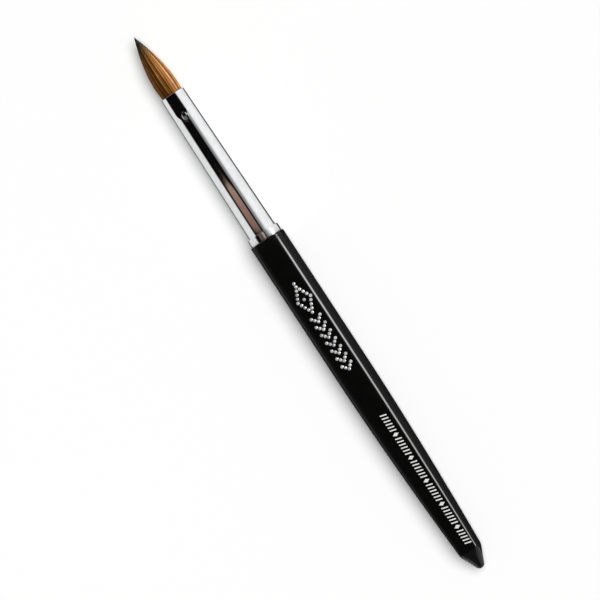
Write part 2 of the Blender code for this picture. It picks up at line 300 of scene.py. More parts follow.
def plating_material():
    """Bright nickel plating on drawn tube: long faint draw lines and a slight unevenness of gloss."""
    mat, tree, shader = new_material("bright_nickel_plating")
    place = in_millimetres(tree)
    drawn = in_millimetres(tree, (60, 1, 1))
    tones = [(0.35, (0.83, 0.84, 0.85)), (0.65, (0.90, 0.905, 0.91))]
    tone = ramp(tree, noise(tree, place, 0.5), tones)
    tree.links.new(tone, shader.inputs["Base Color"])
    shader.inputs["Metallic"].default_value = 1.0
    set_roughness(tree, shader, noise(tree, drawn, 5.0, 4.0), 0.02, 0.045)
    waves = noise(tree, in_millimetres(tree, (9, 1, 1)), 0.55, 1.0)
    lines = noise(tree, drawn, 9.0, 3.0)
    add_bump(tree, shader, (waves, 1.6 * MICRON), (lines, 0.2 * MICRON))
    return mat


def hair_material():
    """Kolinsky hair: each strand has its own tone, with painted shade on strands deep between clumps and on
    the core, and all of them darken towards the point.
    """
    mat, tree, shader = new_material("kolinsky_hair_strand")
    out = add_node(tree, "ShaderNodeSeparateXYZ")
    place = add_node(tree, "ShaderNodeTexCoord")
    tree.links.new(place.outputs["Object"], out.inputs["Vector"])
    share = add_node(tree, "ShaderNodeMapRange", {"From Min": MOUTH_X, "From Max": HAIR_TIP_X})
    tree.links.new(out.outputs["X"], share.inputs["Value"])
    body = ramp(tree, share.outputs["Result"], [
        (0.0, (0.215, 0.086, 0.018)), (0.35, (0.230, 0.096, 0.021)), (0.60, (0.185, 0.078, 0.018)),
        (0.74, (0.100, 0.056, 0.018)), (0.86, (0.036, 0.031, 0.020)), (1.0, (0.019, 0.019, 0.018))])
    # the tone holds painted shade: it is darker for strands deep between clumps and for the core
    strand = add_node(tree, "ShaderNodeAttribute", attribute_name="tone")
    shade = ramp(tree, strand.outputs["Fac"], [
        (0.0, (0.07, 0.045, 0.03)), (0.25, (0.26, 0.19, 0.13)), (0.6, (1.05, 1.0, 0.95)),
        (1.0, (2.1, 2.4, 3.0))])
    colour = multiply_colours(tree, body, shade)
    flecks = ramp(tree, noise(tree, in_millimetres(tree, (14, 1, 1)), 3.0, 3.0), [(0.3, 0.62), (0.6, 1.0)])
    colour = multiply_colours(tree, colour, flecks)
    tree.links.new(colour, shader.inputs["Base Color"])
    shader.inputs["Roughness"].default_value = 0.42
    shader.inputs["Specular IOR Level"].default_value = 0.06
    scales = noise(tree, in_millimetres(tree, (0.4, 1, 1)), 14.0, 2.0)
    add_bump(tree, shader, (scales, 3 * MICRON))
    return mat


def crystal_material():
    """A foil-backed crystal: a bright silvered stone under clear glass, each of its own brightness."""
    mat, tree, shader = new_material("foiled_crystal_stone")
    each = add_node(tree, "ShaderNodeObjectInfo")
    tone = ramp(tree, each.outputs["Random"], [(0.0, (0.52, 0.53, 0.54)), (1.0, (0.86, 0.86, 0.84))])
    tree.links.new(tone, shader.inputs["Base Color"])
    shader.inputs["Metallic"].default_value = 0.45
    shader.inputs["Coat Weight"].default_value = 1.0
    shader.inputs["Coat Roughness"].default_value = 0.02
    set_roughness(tree, shader, noise(tree, in_millimetres(tree), 5.0), 0.08, 0.2)
    return mat


def print_material():
    """White pad print, a little uneven in its cover."""
    mat, tree, shader = new_material("white_pad_print")
    cover = noise(tree, in_millimetres(tree), 5.0, 4.0)
    tone = ramp(tree, cover, [(0.3, (0.58, 0.58, 0.55)), (0.6, (0.76, 0.76, 0.73))])
    tree.links.new(tone, shader.inputs["Base Color"])
    set_roughness(tree, shader, cover, 0.32, 0.5)
    add_bump(tree, shader, (cover, 4 * MICRON))
    return mat


def thread_material():
    """Waxed thread, twisted."""
    mat, tree, shader = new_material("waxed_cotton_thread")
    waves = {"Scale": 2.4, "Distortion": 1.2}
    twist = add_node(tree, "ShaderNodeTexWave", waves, bands_direction="DIAGONAL")
    tree.links.new(in_millimetres(tree), twist.inputs["Vector"])
    tone = ramp(tree, twist.outputs["Fac"], [(0.0, (0.42, 0.36, 0.26)), (1.0, (0.74, 0.68, 0.55))])
    tree.links.new(tone, shader.inputs["Base Color"])
    shader.inputs["Roughness"].default_value = 0.75
    add_bump(tree, shader, (twist.outputs["Fac"], 30 * MICRON))
    return mat


def resin_material():
    """Amber glue, cloudy with fine bubbles."""
    mat, tree, shader = new_material("amber_glue")
    cloud = noise(tree, in_millimetres(tree), 1.6, 5.0)
    tone = ramp(tree, cloud, [(0.3, (0.40, 0.22, 0.06)), (0.7, (0.66, 0.44, 0.17))])
    tree.links.new(tone, shader.inputs["Base Color"])
    shader.inputs["Subsurface Weight"].default_value = 0.3
    shader.inputs["Subsurface Scale"].default_value = 0.5 * MM
    set_roughness(tree, shader, cloud, 0.2, 0.4)
    add_bump(tree, shader, (cloud, 8 * MICRON))
    return mat


# --- handle -----------------------------------------------------------------------------------------

CORNER_STEPS = 16
FLAT_SHARES = (-0.94, -0.6, 0.0, 0.6, 0.94)  # points along each flat, over its half width
BEVEL_STEPS = 6
STRAIGHT_FROM_X = SHOULDER_X + 1 * MM
STRAIGHT_RINGS = 12
TAPER_RINGS = 48
BREAK_FROM_X = TAPER_END_X - 1.2 * MM  # from here to the nose the rings are closer
BREAK_RINGS = 28
NOSE_RINGS = 12
FIRST_SLOPE = 0.45  # where the search for the point's slope starts
SLOPE_ROUNDS = 20


def point_slope():
    """Slope of the point's flats, which meet the round nose at a tangent. Found by a few repeats."""
    slope = FIRST_SLOPE
    for _ in range(SLOPE_ROUNDS):
        angle = math.atan(slope)
        meet_x = TIP_X - NOSE_RADIUS * (1 - math.sin(angle))
        slope = (TAPER_END_FLATS / 2 - NOSE_RADIUS * math.cos(angle)) / (meet_x - TAPER_END_X)
    return slope


POINT_SLOPE = point_slope()


def flats_at(x):
    """Width across flats of the handle at x, up to the nose, with the break before the point softened."""
    if x <= TAPER_START_X:
        return ACROSS_FLATS
    share = (x - TAPER_START_X) / (TAPER_END_X - TAPER_START_X)
    body = ACROSS_FLATS - (ACROSS_FLATS - TAPER_END_FLATS) * share**TAPER_POWER
    point = TAPER_END_FLATS - 2 * POINT_SLOPE * (x - TAPER_END_X)
    near = max(BREAK_BLEND - abs(body - point), 0) / BREAK_BLEND
    return min(body, point) - near * near * BREAK_BLEND / 4  # meets both at a tangent


def corner_share(x):
    """Corner radius over the width. It gets a little smaller down the taper, and full at the nose."""
    taper = min(max((x - TAPER_START_X) / (TAPER_END_X - TAPER_START_X), 0), 1)
    share = CORNER_SHARE + (BREAK_CORNER_SHARE - CORNER_SHARE) * taper * taper
    point = min(max((x - TAPER_END_X + ROUNDING_LEAD) / (TIP_X - TAPER_END_X), 0), 1)
    return share + (0.5 - share) * ease(point)


def square_ring(x, flats):
    """A square with rounded corners, from the low end of its +Y side round past +Z."""
    radius = flats * corner_share(x)
    inner = flats / 2 - radius
    ring = []
    for corner in range(4):
        turn = math.radians(90 * corner)
        cos, sin = math.cos(turn), math.sin(turn)
        section = [(flats / 2, inner * share) for share in FLAT_SHARES]
        for step in range(CORNER_STEPS + 1):
            angle = math.radians(90 * step / CORNER_STEPS)
            section.append((inner + radius * math.cos(angle), inner + radius * math.sin(angle)))
        ring += [(x, y * cos - z * sin, AXIS_Z + y * sin + z * cos) for y, z in section]
    return ring


RING_SIZE = 4 * (CORNER_STEPS + 1 + len(FLAT_SHARES))


def round_ring(x, radius):
    """A circle whose points are at the angles of a square ring's points."""
    ring = []
    for _, y, z in square_ring(x, ACROSS_FLATS):
        size = math.hypot(y, z - AXIS_Z)
        ring.append((x, radius * y / size, AXIS_Z + radius * (z - AXIS_Z) / size))
    return ring


def handle_rings():
    """The handle's rings, from the tenon's end to the nose."""
    yield round_ring(TENON_END_X, TENON_END_RADIUS - TENON_CHAMFER)
    yield round_ring(TENON_END_X + TENON_CHAMFER, TENON_END_RADIUS)
    yield round_ring(SHOULDER_X, TENON_ROOT_RADIUS)
    for angle in spread(0, math.pi / 2, BEVEL_STEPS):
        x = SHOULDER_X + SHOULDER_BEVEL * (1 - math.cos(angle))
        yield square_ring(x, ACROSS_FLATS - 2 * SHOULDER_BEVEL * (1 - math.sin(angle)))
    yield square_ring(SHOULDER_X + SHOULDER_BEVEL + HOLD, ACROSS_FLATS)
    for x in spread(STRAIGHT_FROM_X, TAPER_START_X, STRAIGHT_RINGS):
        yield square_ring(x, ACROSS_FLATS)
    for x in spread(TAPER_START_X, BREAK_FROM_X, TAPER_RINGS)[1:]:
        yield square_ring(x, flats_at(x))
    slope_angle = math.atan(POINT_SLOPE)
    centre = TIP_X - NOSE_RADIUS
    for x in spread(BREAK_FROM_X, centre + NOSE_RADIUS * math.sin(slope_angle), BREAK_RINGS)[1:-1]:
        yield square_ring(x, flats_at(x))
    for angle in spread(slope_angle, math.pi / 2, NOSE_RINGS)[:-1]:
        yield square_ring(centre + NOSE_RADIUS * math.sin(angle), 2 * NOSE_RADIUS * math.cos(angle))


def make_handle(lacquer, wood):
    rings = list(handle_rings())
    vertices = [point for ring in rings for point in ring]
    faces = loft_faces(len(rings), RING_SIZE)
    faces.append(tuple(range(RING_SIZE)))
    nose = len(vertices)
    vertices.append((TIP_X, 0, AXIS_Z))
    last = nose - RING_SIZE
    faces += [(last + i, last + (i + 1) % RING_SIZE, nose) for i in range(RING_SIZE)]
    handle = link_mesh("lacquered_handle", vertices, faces, [lacquer, wood])
    for face in handle.data.polygons:
        if face.center.x < SHOULDER_X - FIT_GAP:
            face.material_index = 1  # wood
    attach(handle, "brush")
    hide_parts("handle")


# --- ferrule and collar -----------------------------------------------------------------------------

TUBE_STEPS = 256
TUBE_ANGLES = [2 * math.pi * i / TUBE_STEPS for i in range(TUBE_STEPS)]
EDGE_STEPS = 5
MOUTH_RINGS = 100  # as far as the tool's mark, where the wall isn't a plain cone
CONE_RINGS = 24
INNER_RINGS = 3  # the wall's inner side has one ring for this many outside
RIM_RADIUS = 0.1 * MM
LIP_CHAMFER = 0.05 * MM  # of the wall's inner edge at the mouth
COLLAR_EDGE = 0.08 * MM
MARK_X = MOUTH_X + 6.75 * MM
MARK_ROLL = math.radians(9)
MARK_LENGTH = 1.25 * MM
MARK_END_X = MARK_X + 1.5 * MARK_LENGTH  # past its rim
MARK_WIDTH = 0.85 * MM
MARK_DEPTH = 0.2 * MM
MARK_RIM = 0.045 * MM
MARK_RIM_AT = 1.05  # the rim's distance from the mark's middle, over the mark's size
MARK_RIM_WIDTH = 0.13


def ferrule_radius(x):
    share = (x - MOUTH_X) / (STEP_X - MOUTH_X)
    return FERRULE_MOUTH_RADIUS + (FERRULE_STEP_RADIUS - FERRULE_MOUTH_RADIUS) * share


def press_depth(x, angle):
    """How far the pressing tool has sunk the wall at x, at an angle round the brush."""
    along = (x - MOUTH_X) / PRESS_LENGTH
    facing = math.cos(angle - PRESS_ROLL)
    if along >= 1 or facing <= 0:
        return 0
    if along <= PRESS_STEP_SHARE:
        sink = PRESS_MOUTH_DEPTH + (PRESS_DEPTH - PRESS_MOUTH_DEPTH) * along / PRESS_STEP_SHARE
    else:
        sink = PRESS_DEPTH * ease((1 - along) / (1 - PRESS_STEP_SHARE))
    radius = ferrule_radius(x)
    return max(radius - (radius - sink) / facing, 0)


def mark_depth(x, angle):
    """The small round hollow, with a raised rim, that the tool's end leaves where the flat ends."""
    turn = (angle - MARK_ROLL + math.pi) % (2 * math.pi) - math.pi
    away = math.hypot((x - MARK_X) / MARK_LENGTH, ferrule_radius(x) * turn / MARK_WIDTH)
    hollow = MARK_DEPTH * max(1 - away**2, 0)
    return hollow - MARK_RIM * math.exp(-((away - MARK_RIM_AT) / MARK_RIM_WIDTH) ** 2)


def ferrule_profile():
    """(x, depth below the cone) of each ring, from the rounded lip along the outside and back inside."""
    profile = [(MOUTH_X + RIM_RADIUS * (1 - math.sin(t)), RIM_RADIUS * (1 - math.cos(t)))
               for t in spread(math.pi / 2, 0, EDGE_STEPS)[:-1]]
    by_mouth = spread(MOUTH_X + RIM_RADIUS, MARK_END_X, MOUTH_RINGS)
    stations = by_mouth + spread(by_mouth[-1], COLLAR_END_X - FIT_GAP, CONE_RINGS)[1:]
    profile += [(x, 0) for x in stations]
    profile += [(x, FERRULE_WALL) for x in reversed(stations[::INNER_RINGS])]
    profile.append((MOUTH_X, FERRULE_WALL - LIP_CHAMFER))
    return profile


def make_ferrule(plating):
    """The tube, open at both ends, with its flat and its mark sunk in the wall."""
    profile = ferrule_profile()
    vertices = []
    for x, inset in profile:
        for angle in TUBE_ANGLES:
            sunk = press_depth(x, angle) + mark_depth(x, angle)
            vertices.append(around(x, ferrule_radius(x) - inset - sunk, angle))
    tube = link_mesh("ferrule_tube", vertices, loft_faces(len(profile), TUBE_STEPS, loop=True), [plating])
    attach(tube, "brush")
    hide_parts("ferrule")


def make_collar(plating):
    """The collar ring, with rounded edges."""
    inner = ferrule_radius(COLLAR_END_X) + FIT_GAP
    edge = [(COLLAR_EDGE * (1 - math.cos(t)), COLLAR_EDGE * (1 - math.sin(t)))
            for t in spread(0, math.pi / 2, EDGE_STEPS)]
    edge = [(0, COLLAR_EDGE + HOLD)] + edge + [(COLLAR_EDGE + HOLD, 0)]
    profile = [(COLLAR_END_X, inner)]
    profile += [(COLLAR_END_X - back, COLLAR_RADIUS - down) for back, down in edge]
    profile += [(STEP_X + back, COLLAR_RADIUS - down) for back, down in reversed(edge)]
    profile.append((STEP_X, inner))
    vertices = [around(x, radius, angle) for x, radius in profile for angle in TUBE_ANGLES]
    ring = link_mesh("collar_ring", vertices, loft_faces(len(profile), TUBE_STEPS, loop=True), [plating])
    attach(ring, "brush")
    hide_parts("ferrule_collar")


# --- hair -------------------------------------------------------------------------------------------

STRANDS = 2100
STRAND_RADIUS = 0.055 * MM
STRAND_WIDTHS = (0.75, 1.15)  # least and greatest, over that radius
STRAND_SIDES = 4
STRAND_TAPER_POWER = 3
STRAND_STEPS = 10
ROOT_DEPTH = 1.8 * MM  # how far the strands run back into the ferrule
STRAND_STRAY = 0.03  # radians that a strand's angle strays
STRAND_DRIFT = 0.05  # radians that it usually turns by its tip
STRAND_SINK = 0.12  # how deep a strand may lie, over the tuft's radius
STRAND_SINK_POWER = 1.5
CLUMP_SINK = 0.09  # and how much deeper where no clump stands out
SHORTER_BY = 0.20  # of the tuft's length, for the shortest strands
SHORTER_POWER = 2.2
STRAND_LIFT = 0.012 * MM  # how far it usually bows out or in at its middle
GROOVE_SHADE_TONE = 0.02  # painted shade: tone of a strand deep between clumps, darkened for the shade there, and how much lighter on a clump that stands out
CLUMP_LIGHT_RISE = 0.92
TONE_SCATTER = 0.14
TIP_LEAN = 0.24 * MM
TIP_LEAN_RATE = 4  # how soon along the tuft it leans
CLUMPS = 84
clumps = [rng.random() for _ in range(CLUMPS)]
CORE_SHARE = 0.93  # of the tuft's radius
CORE_FROM = 0.3 * MM  # out of the mouth
CORE_END_SHARE = 0.985  # of the tuft's length
CORE_RINGS = 40
CORE_GROOVE = 0.02
# painted shade: the core's tones are dark, for the shade between the strands
CORE_SHADE_TONE = 0.10
CORE_SHADE_RISE = 0.16
CORE_TONES = 5
CORE_TONE_STRIDE = 7  # mixes the tones round the core
# the bound root in the ferrule, with a waist where the thread lies: (depth behind the mouth, radius)
ROOT_PROFILE = [
    (2.0 * MM, ROOT_RADIUS), (7.7 * MM, ROOT_RADIUS), (8.6 * MM, 2.44 * MM), (12.2 * MM, 2.44 * MM),
    (12.99 * MM, 2.69 * MM),
]
CORE_STEPS = 64
HAIR_FLAT_HEIGHT = 2.70 * MM  # of the side that the ferrule's flat presses, from the axis
HAIR_FLAT_RISE = 0.3  # how fast that side swells out again in front of the ferrule
GOLDEN_ANGLE = math.pi * (3 - math.sqrt(5))


def hair_radius(out):
    """Radius of the tuft at a distance out of the ferrule."""
    share = max(out, 0) / HAIR_OUT
    if share <= HAIR_BELLY_SHARE:
        swell = math.sin(share / HAIR_BELLY_SHARE * math.pi / 2)
        return HAIR_MOUTH_RADIUS + (HAIR_BELLY_RADIUS - HAIR_MOUTH_RADIUS) * swell
    rest = (share - HAIR_BELLY_SHARE) / (1 - HAIR_BELLY_SHARE)
    return HAIR_BELLY_RADIUS * (1 - rest**HAIR_POINT_POWER)


def hair_lean(out):
    """The tuft's point leans a little to one side."""
    return Vector((0, -TIP_LEAN * (1 - math.exp(-TIP_LEAN_RATE * max(out, 0) / HAIR_OUT)), 0))


def pressed(radius, out, angle):
    """A radius held back by the ferrule's flat at its mouth."""
    facing = math.cos(angle - PRESS_ROLL)
    height = HAIR_FLAT_HEIGHT + HAIR_FLAT_RISE * max(out, 0)
    return min(radius, height / facing) if facing > 0 else radius


def clump_at(angle):
    """How much a clump of strands stands out, from 0 to 1. The clumps lie side by side round the tuft."""
    place = angle / (2 * math.pi) * CLUMPS % CLUMPS
    first = int(place)
    share = ease(place - first)
    return clumps[first % CLUMPS] * (1 - share) + clumps[(first + 1) % CLUMPS] * share


def strand_line(number):
    """(points along one strand from its root to its tip, tone). Strands lie near the tuft's surface, and
    those that lie deeper between clumps get a darker tone, a painted shade.
    """
    angle = GOLDEN_ANGLE * number + rng.uniform(-STRAND_STRAY, STRAND_STRAY)
    clump = clump_at(angle)
    depth = 1.0 - STRAND_SINK * rng.random() ** STRAND_SINK_POWER - CLUMP_SINK * (1 - clump)
    drift = rng.gauss(0, STRAND_DRIFT)
    end = HAIR_OUT * (1 - SHORTER_BY * rng.random() ** SHORTER_POWER)
    lift = rng.gauss(0, STRAND_LIFT)
    points = []
    for step in range(STRAND_STEPS + 1):
        share = step / STRAND_STEPS
        out = -ROOT_DEPTH + (end + ROOT_DEPTH) * share
        envelope = hair_radius(out)
        if out < 0:
            envelope += (ROOT_RADIUS - HAIR_MOUTH_RADIUS) * out / -ROOT_DEPTH
        turn = angle + drift * share
        radius = pressed(envelope * depth + lift * math.sin(math.pi * share), out, turn)
        points.append(Vector(around(MOUTH_X - out, radius, turn)) + hair_lean(out))
    # painted shade: the tone follows the clump, so strands that lie deeper between clumps are darker
    tone = min(max(rng.gauss(GROOVE_SHADE_TONE + CLUMP_LIGHT_RISE * clump, TONE_SCATTER), 0), 1)
    return points, tone


def paint_tones_and_shade(obj, tones):
    """Give each point of the mesh the tone, with its painted shade, that the hair's material reads."""
    attribute = obj.data.attributes.new("tone", "FLOAT", "POINT")
    attribute.data.foreach_set("value", np.array(tones, np.float32))


def make_strands(hair):
    """All the strands as one mesh of thin tapered rods, with each strand's tone and painted shade on its
    points.
    """
    vertices = []
    faces = []
    tones = []
    for number in range(STRANDS):
        points, tone = strand_line(number)
        width = STRAND_RADIUS * rng.uniform(*STRAND_WIDTHS)
        base = len(vertices)
        middle = points[len(points) // 2]
        outward = Vector((0, middle.y, middle.z - AXIS_Z)).normalized()
        across = Vector((1, 0, 0)).cross(outward)
        for step, point in enumerate(points[:-1]):
            radius = width * (1 - (step / STRAND_STEPS) ** STRAND_TAPER_POWER)
            for side in range(STRAND_SIDES):
                turn = 2 * math.pi * (side + 0.5) / STRAND_SIDES
                vertices.append(point + (outward * math.cos(turn) + across * math.sin(turn)) * radius)
        vertices.append(points[-1])
        tones += [tone] * (len(vertices) - base)
        faces += [tuple(base + v for v in face) for face in loft_faces(STRAND_STEPS, STRAND_SIDES)]
        faces.append(tuple(base + v for v in range(STRAND_SIDES)))
        last = base + (STRAND_STEPS - 1) * STRAND_SIDES
        tip = last + STRAND_SIDES
        faces += [(last + i, last + (i + 1) % STRAND_SIDES, tip) for i in range(STRAND_SIDES)]
    strands = link_mesh("hair_strands", vertices, faces, [hair])
    paint_tones_and_shade(strands, tones)
    return strands


def make_core(hair):
    """The inner mass of hair that shows between the strands, darkly toned as painted shade, and the bound
    root in the ferrule.
    """
    profile = [(MOUTH_X + depth, radius) for depth, radius in reversed(ROOT_PROFILE)]
    for out in spread(CORE_FROM, HAIR_OUT * CORE_END_SHARE, CORE_RINGS):
        profile.append((MOUTH_X - out, hair_radius(out) * CORE_SHARE))
    vertices = []
    tones = []
    for x, radius in profile:
        for i in range(CORE_STEPS):
            angle = 2 * math.pi * i / CORE_STEPS
            groove = 1 - CORE_GROOVE * (i % 2)
            held = pressed(radius * groove, MOUTH_X - x, angle)
            vertices.append(Vector(around(x, held, angle)) + hair_lean(MOUTH_X - x))
            # painted shade: a dark tone for the shade deep between the strands
            tones.append(CORE_SHADE_TONE + CORE_SHADE_RISE * (i * CORE_TONE_STRIDE % CORE_TONES) / (CORE_TONES - 1))
    faces = loft_faces(len(profile), CORE_STEPS)
    faces.append(tuple(range(CORE_STEPS)))
    faces.append(tuple(range(len(vertices) - CORE_STEPS, len(vertices))))
    core = link_mesh("hair_core", vertices, faces, [hair])
    paint_tones_and_shade(core, tones)
    return core


def make_hair(hair):
    pieces = (make_strands(hair), make_core(hair))
    for piece in pieces:
        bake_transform(piece)
        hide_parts("hair_tuft")
    return pieces


# --- crystals and print -----------------------------------------------------------------------------

CRYSTAL_SIDES = 8


def crystal_places():
    """(x, y) of each crystal: one alone, the outline of a rhombus with its centre, then chevrons."""
    yield LEAD_X, DECOR_Y
    last = RHOMBUS_SIDE - 1
    for i in range(RHOMBUS_SIDE):
        for j in range(RHOMBUS_SIDE):
            if i in (0, last) or j in (0, last) or i == j == last // 2:
                yield RHOMBUS_X + (i + j - last) * RHOMBUS_STEP[0], DECOR_Y + (i - j) * RHOMBUS_STEP[1]
    for n in range(CHEVRONS):
        apex = CHEVRON_X + CHEVRON_PITCH * n + CHEVRON_ARM * CHEVRON_STEP[0] / 2
        for k in range(-CHEVRON_ARM, CHEVRON_ARM + 1):
            yield apex - abs(k) * CHEVRON_STEP[0], DECOR_Y + k * CHEVRON_STEP[1]


def seat(x, y):
    """The point on the handle's upper side at (x, y) in plan, and how far its normal leans from +Z."""
    flats = flats_at(x)
    radius = flats * corner_share(x)
    past = max(abs(y) - (flats / 2 - radius), 0)
    lean = math.copysign(math.asin(past / radius), y)
    return Vector((x, y, AXIS_Z + flats / 2 - radius * (1 - math.cos(lean)))), lean


def crystal_mesh(stone):
    """A flat-backed stone: an eight-sided table, star and kite facets, a girdle and a tapered back."""
    rings = [
        (CRYSTAL_TABLE_RADIUS, CRYSTAL_HEIGHT, 0.0),
        (CRYSTAL_RADIUS * KITE_RADIUS_SHARE, CRYSTAL_HEIGHT * KITE_HEIGHT_SHARE, 0.5),
        (CRYSTAL_RADIUS, CRYSTAL_GIRDLE + GIRDLE_ABOVE, 0.0),
        (CRYSTAL_RADIUS, CRYSTAL_GIRDLE - GIRDLE_BELOW, 0.0),
        (CRYSTAL_RADIUS * CRYSTAL_BACK_SHARE, 0.0, 0.0),
    ]
    bm = bmesh.new()
    levels = []
    for radius, z, shift in rings:
        turns = [2 * math.pi * (i + shift) / CRYSTAL_SIDES for i in range(CRYSTAL_SIDES)]
        levels.append([bm.verts.new((radius * math.cos(t), radius * math.sin(t), z)) for t in turns])
    bm.faces.new(levels[0])
    for i in range(CRYSTAL_SIDES):
        j = (i + 1) % CRYSTAL_SIDES
        bm.faces.new((levels[0][i], levels[1][i], levels[0][j]))
        bm.faces.new((levels[0][j], levels[1][i], levels[2][j], levels[1][j]))
        bm.faces.new((levels[1][i], levels[2][i], levels[2][j]))
        for upper, lower in zip(levels[2:], levels[3:]):
            bm.faces.new((upper[i], lower[i], lower[j], upper[j]))
    bm.faces.new(list(reversed(levels[-1])))
    bmesh.ops.recalc_face_normals(bm, faces=bm.faces)
    mesh = bpy.data.meshes.new("crystal_stone")
    bm.to_mesh(mesh)
    bm.free()
    mesh.materials.append(stone)
    mesh.shade_flat()
    return mesh


def make_crystals(stone):
    mesh = crystal_mesh(stone)
    for number, (x, y) in enumerate(crystal_places(), 1):
        point, lean = seat(x, y)
        turn = Matrix.Rotation(-lean, 4, "X") @ Matrix.Rotation(rng.uniform(0, math.pi / 4), 4, "Z")
        crystal = link_object(f"stone_{number:02d}", mesh)
        crystal.matrix_world = Matrix.Translation(point) @ turn @ Matrix.Translation((0, 0, CRYSTAL_LIFT))
        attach(crystal, "brush")
        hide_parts(f"crystal_{number:02d}")


PRINT_FROM = 35.8 * MM
PRINT_TO = 77.6 * MM
PRINT_Y = 1.4 * MM
PRINT_HEIGHT = 1.8 * MM
PRINT_THICKNESS = 0.02 * MM
PRINT_ROWS = 10
BAR_PITCH = 0.95 * MM
BAR_WIDTH = 0.34 * MM
BAR_SLANT = 0.45 * MM
GROUP_BARS = 6
DIAMOND_WIDTH = 1.1 * MM
DIAMOND_POINT = 0.04  # width of a diamond's points, over its full width


def bar_edges(share):
    """Left and right edge of a slanted bar at a share of the print's height."""
    lean = BAR_SLANT * (share - 0.5)
    return lean - BAR_WIDTH / 2, lean + BAR_WIDTH / 2


def diamond_edges(share):
    half = DIAMOND_WIDTH / 2 * max(1 - abs(2 * share - 1), DIAMOND_POINT)
    return -half, half


def print_layout():
    """(x, edges) of each mark: groups of slanted bars with a solid diamond between the groups."""
    x = PRINT_FROM + BAR_WIDTH / 2 + BAR_SLANT / 2
    count = 0
    while x < PRINT_TO:
        if count % (GROUP_BARS + 1) == GROUP_BARS:
            x += DIAMOND_WIDTH / 2 - BAR_WIDTH / 2
            yield x, diamond_edges
            x += DIAMOND_WIDTH / 2 - BAR_WIDTH / 2
        else:
            yield x, bar_edges
        x += BAR_PITCH
        count += 1


def make_print(ink):
    """A line of solid marks that follows the top flat and its rounded corner."""
    vertices = []
    faces = []
    for x, edges in print_layout():
        base = len(vertices)
        for row in range(PRINT_ROWS + 1):
            share = row / PRINT_ROWS
            y = PRINT_Y + PRINT_HEIGHT * (share - 0.5)
            for edge in edges(share):
                point, lean = seat(x + edge, y)
                outward = Vector((0, math.sin(lean), math.cos(lean)))
                vertices += [point - outward * PRINT_THICKNESS, point + outward * PRINT_THICKNESS]
        for row in range(PRINT_ROWS):
            a = base + 4 * row
            b = a + 4
            faces += [(a + 1, a + 3, b + 3, b + 1), (a, b, b + 2, a + 2),
                      (a, a + 1, b + 1, b), (a + 2, b + 2, b + 3, a + 3)]
        last = base + 4 * PRINT_ROWS
        faces += [(base, base + 2, base + 3, base + 1), (last, last + 1, last + 3, last + 2)]
    marks = link_mesh("print_marks", vertices, faces, [ink], smooth=False)
    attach(marks, "brush")


# --- floor, light and camera ------------------------------------------------------------------------

FLOOR_SIZE = 12.0
BACKDROP_RADIUS = 5.9
BACKDROP_SIDES = 48
BACKDROP_FOOT = -0.1
BACKDROP_LIGHT = 0.975
SURROUNDINGS_LIGHT = 0.115
LAMP_DISTANCE = 1.5  # from the brush's axis
CAMERA_LEAN = math.radians(15.3)
CAMERA_TURN = math.radians(56.80)
CAMERA_TARGET = Vector((-1.70 * MM, -1.485 * MM, 5.13 * MM))
CAMERA_DISTANCE = 1.0
CAMERA_LENS = 223.95
CAMERA_SENSOR = 36
CAMERA_NEAR = 0.01
TENT_RADIUS = 1.5
TENT_HALF_LENGTH = 2.5
TENT_STEPS = 144
TENT_END_STEP = 5  # degrees
CARD_RADIUS = TENT_RADIUS * 0.97  # just inside the strips
CARD_STEPS = 20
CARD_EDGE = 0.1  # width of a card's soft edge, over its width
TENT_TOP = 20.0  # radiance of a full white glow colour
FLAG_X = -0.0478  # where the strips beside the handle take over from those beside the ferrule

# radiance of the reflection tent over the angle round the brush in degrees, beside the ferrule
FERRULE_STOPS = [
    (-180, 0.04), (-136, 0.05), (-128, 0.45), (-112, 0.80), (-95, 0.84), (-54, 0.82), (-48, 0.55),
    (-43, 0.01), (-38, 0.003), (24, 0.003), (28, 0.08), (32, 0.32), (37, 0.20), (44, 0.45), (52, 0.80),
    (60, 0.98), (88, 1.0), (109, 0.95), (137, 0.84), (156, 0.72), (162, 0.03), (180, 0.02),
]
# and beside the handle, where the strip light is narrow and strong
HANDLE_STOPS = [
    (-180, 0.06), (-140, 0.11), (-99, 0.16), (-97, 0.85), (-87, 0.85), (-85, 0.16), (-60, 0.13), (-46, 0.03),
    (-30, 0.0), (40, 0.0), (60, 0.20), (66, 0.4), (67, 17.0), (84, 17.0), (86, 1.0), (104, 0.45),
    (130, 0.22), (150, 0.10), (165, 0.05), (180, 0.04),
]
# and further along both ways, where only other views look: side panels, a grey ceiling and the pale floor
FAR_STOPS = [
    (-180, 0.62), (-125, 0.72), (-105, 0.85), (-55, 0.85), (-40, 0.12), (38, 0.12), (52, 0.85), (105, 0.95),
    (125, 0.74), (180, 0.62),
]
FAR_END = (0.45,) * 3  # radiance of the tent's ends
FAR_STARTS = {-1: 0.95, 1: 0.6}  # how far out the far strips start, towards the hair and the handle's tip
# shares of the handle's strips at each x: they start softly at the flag and fade towards the tip
HANDLE_COLUMNS = [
    (FLAG_X, 0.0), (-0.0465, 0.08), (-0.0438, 1.0), (0.06, 0.8), (0.17, 0.75), (0.34, 0.7), (0.42, 0.5),
    (FAR_STARTS[1], 0.1),
]
